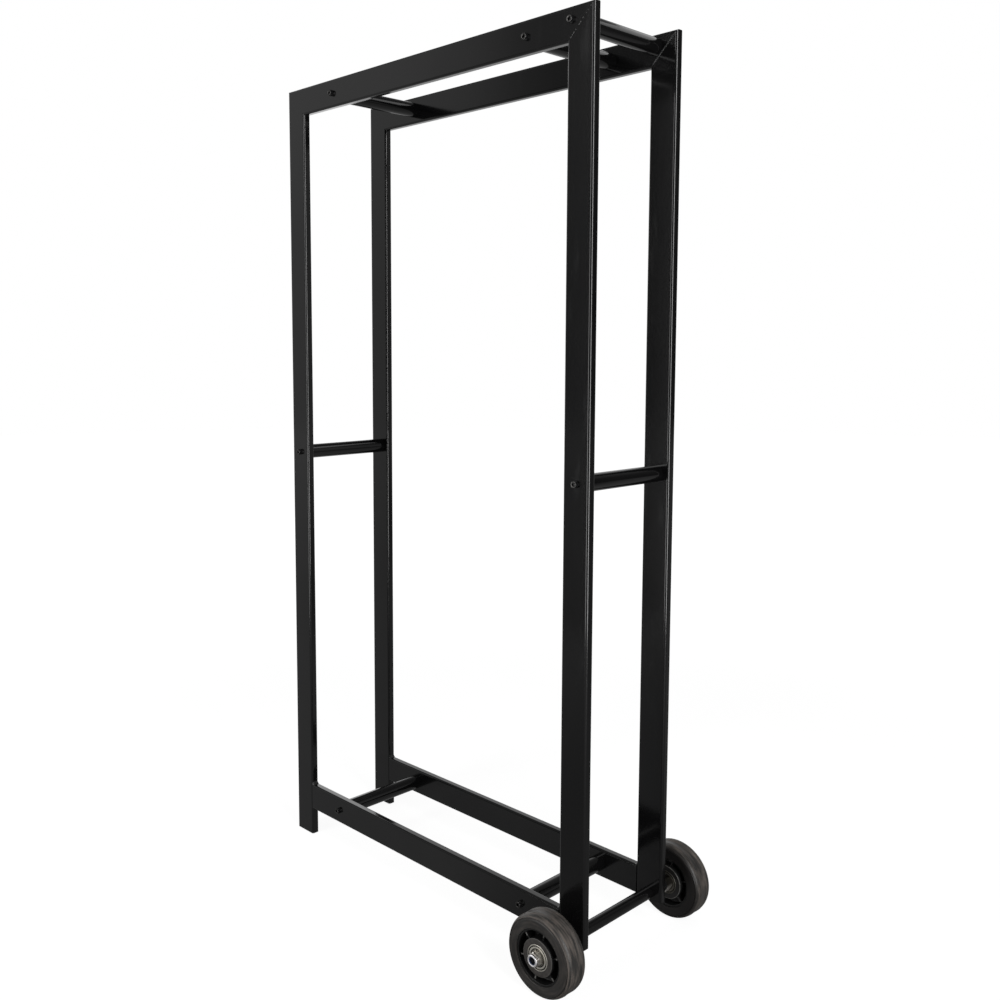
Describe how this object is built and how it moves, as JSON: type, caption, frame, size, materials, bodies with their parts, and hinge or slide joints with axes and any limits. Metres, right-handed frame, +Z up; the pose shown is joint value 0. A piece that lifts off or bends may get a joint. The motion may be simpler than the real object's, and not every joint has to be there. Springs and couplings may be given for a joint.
{
  "type": "log cart",
  "caption": "Tall open log cart: rectangular-tube side frames joined by round cross tubes, two legs at one end and rubber-tyred wheels on an axle at the other.",
  "frame": {"origin": "on the floor, in the middle of the cart's footprint", "axes": "+X along the cart towards the wheels, +Y from the front side frame to the back one, +Z up"},
  "size_m": [0.631, 0.318, 1.175],
  "materials": {
    "frame_paint": "glossy black powder coat",
    "screw_black": "black oxide, satin",
    "cap_plastic": "black moulded plastic, matte",
    "plain_steel": "turned steel, satin",
    "nut_steel": "yellowed zinc plate, satin",
    "zinc_plate": "bright zinc plate",
    "nylon": "dark blue nylon, matte",
    "bearing_steel": "ground steel, satin",
    "tyre_rubber": "solid rubber, matte, slightly scuffed",
    "hub_plastic": "dark moulded plastic, satin"
  },
  "bodies": {
    "frame": {"front_left_post": "frame_paint", "front_right_post": "frame_paint", "front_top_rail": "frame_paint", "front_bottom_rail": "frame_paint", "back_left_post": "frame_paint", "back_right_post": "frame_paint", "back_top_rail": "frame_paint", "back_bottom_rail": "frame_paint", "top_left_tube": "frame_paint", "top_right_tube": "frame_paint", "handle_tube": "frame_paint", "mid_left_tube": "frame_paint", "mid_right_tube": "frame_paint", "bottom_left_tube": "frame_paint", "bottom_right_tube": "frame_paint", "axle_tube": "frame_paint", "tube_plugs": "plain_steel", "frame_screws": "screw_black", "leg_caps": "cap_plastic", "post_end_plates": "frame_paint", "axle_rod": "plain_steel", "axle_sleeves": "screw_black", "inner_nuts": "nut_steel", "lock_nuts": "zinc_plate", "nylon_rings": "nylon", "bearing_inner_rings": "bearing_steel", "hub_spacers": "plain_steel"},
    "front_wheel": {"front_tyre": "tyre_rubber", "front_hub": "hub_plastic", "front_outer_rings": "bearing_steel", "front_balls": "bearing_steel", "front_cages": "plain_steel", "front_shields": "bearing_steel"},
    "back_wheel": {"back_tyre": "tyre_rubber", "back_hub": "hub_plastic", "back_outer_rings": "bearing_steel", "back_balls": "bearing_steel", "back_cages": "plain_steel", "back_shields": "bearing_steel"}
  },
  "joints": [
    {"name": "front_wheel_spin", "type": "hinge", "parent": "frame", "child": "front_wheel", "pos_m": [0.2645, -0.1325, 0.051], "axis": [0, 1, 0], "continuous": true},
    {"name": "back_wheel_spin", "type": "hinge", "parent": "frame", "child": "back_wheel", "pos_m": [0.2645, 0.1325, 0.051], "axis": [0, 1, 0], "continuous": true}
  ]
}
